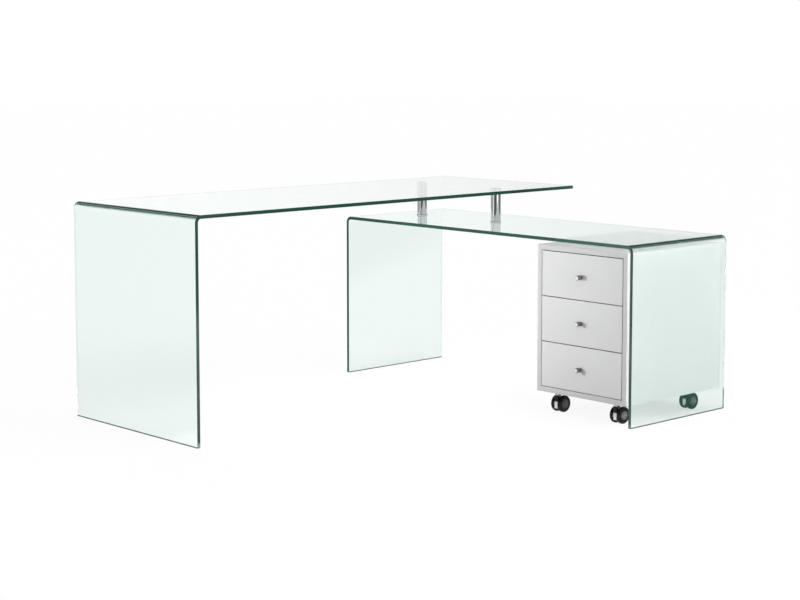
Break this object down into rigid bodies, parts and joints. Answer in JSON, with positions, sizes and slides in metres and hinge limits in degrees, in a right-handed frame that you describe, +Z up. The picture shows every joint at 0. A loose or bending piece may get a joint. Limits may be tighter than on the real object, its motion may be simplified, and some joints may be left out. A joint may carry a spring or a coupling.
{
  "type": "bent glass desk with return and rolling drawer pedestal",
  "caption": "L-shaped bent-glass desk: a main top on one glass leg and chrome posts over a lower glass return, with a rolling drawer pedestal on twin-wheel casters.",
  "frame": {"origin": "on the floor, at the middle of the whole outline seen from above", "axes": "+Z up; +Y along the main top from its glass leg to its free end; +X from the main top towards the end leg of the return, and the drawers open towards -Y"},
  "size_m": [1.46, 1.8, 0.75],
  "materials": {
    "bent_glass": "clear tempered bent glass with polished green edges",
    "chrome": "bright chrome plate",
    "lacquer": "satin white lacquer on fibreboard",
    "drawer_board": "white melamine-faced board",
    "back_board": "white-faced hardboard",
    "beech": "raw beech, fluted",
    "zinc_steel": "zinc-plated rolled steel",
    "bright_steel": "bright turned steel",
    "wheel_nylon": "moulded black nylon",
    "cap_plastic": "moulded grey plastic"
  },
  "bodies": {
    "desk": {"main_glass": "bent_glass", "return_glass": "bent_glass", "post_back_tube": "chrome", "post_user_tube": "chrome", "post_base_plates": "chrome", "post_top_plates": "chrome"},
    "pedestal": {"carcass_bottom": "lacquer", "carcass_top": "lacquer", "carcass_left_side": "lacquer", "carcass_right_side": "lacquer", "carcass_back": "back_board", "carcass_dowels": "beech", "carcass_runners": "zinc_steel", "caster_stems": "bright_steel"},
    "upper_drawer": {"upper_drawer_front": "lacquer", "upper_drawer_sides": "drawer_board", "upper_drawer_back": "drawer_board", "upper_drawer_base": "back_board", "upper_drawer_runners": "zinc_steel", "upper_drawer_knob": "chrome", "upper_drawer_knob_screw": "bright_steel"},
    "middle_drawer": {"middle_drawer_front": "lacquer", "middle_drawer_sides": "drawer_board", "middle_drawer_back": "drawer_board", "middle_drawer_base": "back_board", "middle_drawer_runners": "zinc_steel", "middle_drawer_knob": "chrome", "middle_drawer_knob_screw": "bright_steel"},
    "lower_drawer": {"lower_drawer_front": "lacquer", "lower_drawer_sides": "drawer_board", "lower_drawer_back": "drawer_board", "lower_drawer_base": "back_board", "lower_drawer_runners": "zinc_steel", "lower_drawer_knob": "chrome", "lower_drawer_knob_screw": "bright_steel"},
    "front_left_caster": {"front_left_caster_housing": "chrome", "front_left_caster_axle": "bright_steel"},
    "front_left_caster_left_wheel": {"front_left_caster_left_wheel": "wheel_nylon", "front_left_caster_left_hub_cap": "cap_plastic"},
    "front_left_caster_right_wheel": {"front_left_caster_right_wheel": "wheel_nylon", "front_left_caster_right_hub_cap": "cap_plastic"},
    "front_right_caster": {"front_right_caster_housing": "chrome", "front_right_caster_axle": "bright_steel"},
    "front_right_caster_left_wheel": {"front_right_caster_left_wheel": "wheel_nylon", "front_right_caster_left_hub_cap": "cap_plastic"},
    "front_right_caster_right_wheel": {"front_right_caster_right_wheel": "wheel_nylon", "front_right_caster_right_hub_cap": "cap_plastic"},
    "rear_left_caster": {"rear_left_caster_housing": "chrome", "rear_left_caster_axle": "bright_steel"},
    "rear_left_caster_left_wheel": {"rear_left_caster_left_wheel": "wheel_nylon", "rear_left_caster_left_hub_cap": "cap_plastic"},
    "rear_left_caster_right_wheel": {"rear_left_caster_right_wheel": "wheel_nylon", "rear_left_caster_right_hub_cap": "cap_plastic"},
    "rear_right_caster": {"rear_right_caster_housing": "chrome", "rear_right_caster_axle": "bright_steel"},
    "rear_right_caster_left_wheel": {"rear_right_caster_left_wheel": "wheel_nylon", "rear_right_caster_left_hub_cap": "cap_plastic"},
    "rear_right_caster_right_wheel": {"rear_right_caster_right_wheel": "wheel_nylon", "rear_right_caster_right_hub_cap": "cap_plastic"}
  },
  "joints": [
    {"name": "pedestal_roll", "type": "slide", "parent": "desk", "child": "pedestal", "axis": [0, -1, 0], "range_m": [0, 0.6]},
    {"name": "upper_drawer_slide", "type": "slide", "parent": "pedestal", "child": "upper_drawer", "axis": [0, -1, 0], "range_m": [0, 0.33]},
    {"name": "middle_drawer_slide", "type": "slide", "parent": "pedestal", "child": "middle_drawer", "axis": [0, -1, 0], "range_m": [0, 0.33]},
    {"name": "lower_drawer_slide", "type": "slide", "parent": "pedestal", "child": "lower_drawer", "axis": [0, -1, 0], "range_m": [0, 0.33]},
    {"name": "front_left_caster_swivel", "type": "hinge", "parent": "pedestal", "child": "front_left_caster", "pos_m": [0.37, 0.37, 0.061], "axis": [0, 0, 1], "continuous": true},
    {"name": "front_left_caster_left_wheel_spin", "type": "hinge", "parent": "front_left_caster", "child": "front_left_caster_left_wheel", "pos_m": [0.37, 0.39, 0.0295], "axis": [1, 0, 0], "continuous": true},
    {"name": "front_left_caster_right_wheel_spin", "type": "hinge", "parent": "front_left_caster", "child": "front_left_caster_right_wheel", "pos_m": [0.37, 0.39, 0.0295], "axis": [1, 0, 0], "continuous": true},
    {"name": "front_right_caster_swivel", "type": "hinge", "parent": "pedestal", "child": "front_right_caster", "pos_m": [0.639, 0.37, 0.061], "axis": [0, 0, 1], "continuous": true},
    {"name": "front_right_caster_left_wheel_spin", "type": "hinge", "parent": "front_right_caster", "child": "front_right_caster_left_wheel", "pos_m": [0.639, 0.39, 0.0295], "axis": [1, 0, 0], "continuous": true},
    {"name": "front_right_caster_right_wheel_spin", "type": "hinge", "parent": "front_right_caster", "child": "front_right_caster_right_wheel", "pos_m": [0.639, 0.39, 0.0295], "axis": [1, 0, 0], "continuous": true},
    {"name": "rear_left_caster_swivel", "type": "hinge", "parent": "pedestal", "child": "rear_left_caster", "pos_m": [0.37, 0.742, 0.061], "axis": [0, 0, 1], "continuous": true},
    {"name": "rear_left_caster_left_wheel_spin", "type": "hinge", "parent": "rear_left_caster", "child": "rear_left_caster_left_wheel", "pos_m": [0.37, 0.762, 0.0295], "axis": [1, 0, 0], "continuous": true},
    {"name": "rear_left_caster_right_wheel_spin", "type": "hinge", "parent": "rear_left_caster", "child": "rear_left_caster_right_wheel", "pos_m": [0.37, 0.762, 0.0295], "axis": [1, 0, 0], "continuous": true},
    {"name": "rear_right_caster_swivel", "type": "hinge", "parent": "pedestal", "child": "rear_right_caster", "pos_m": [0.639, 0.742, 0.061], "axis": [0, 0, 1], "continuous": true},
    {"name": "rear_right_caster_left_wheel_spin", "type": "hinge", "parent": "rear_right_caster", "child": "rear_right_caster_left_wheel", "pos_m": [0.639, 0.762, 0.0295], "axis": [1, 0, 0], "continuous": true},
    {"name": "rear_right_caster_right_wheel_spin", "type": "hinge", "parent": "rear_right_caster", "child": "rear_right_caster_right_wheel", "pos_m": [0.639, 0.762, 0.0295], "axis": [1, 0, 0], "continuous": true}
  ]
}
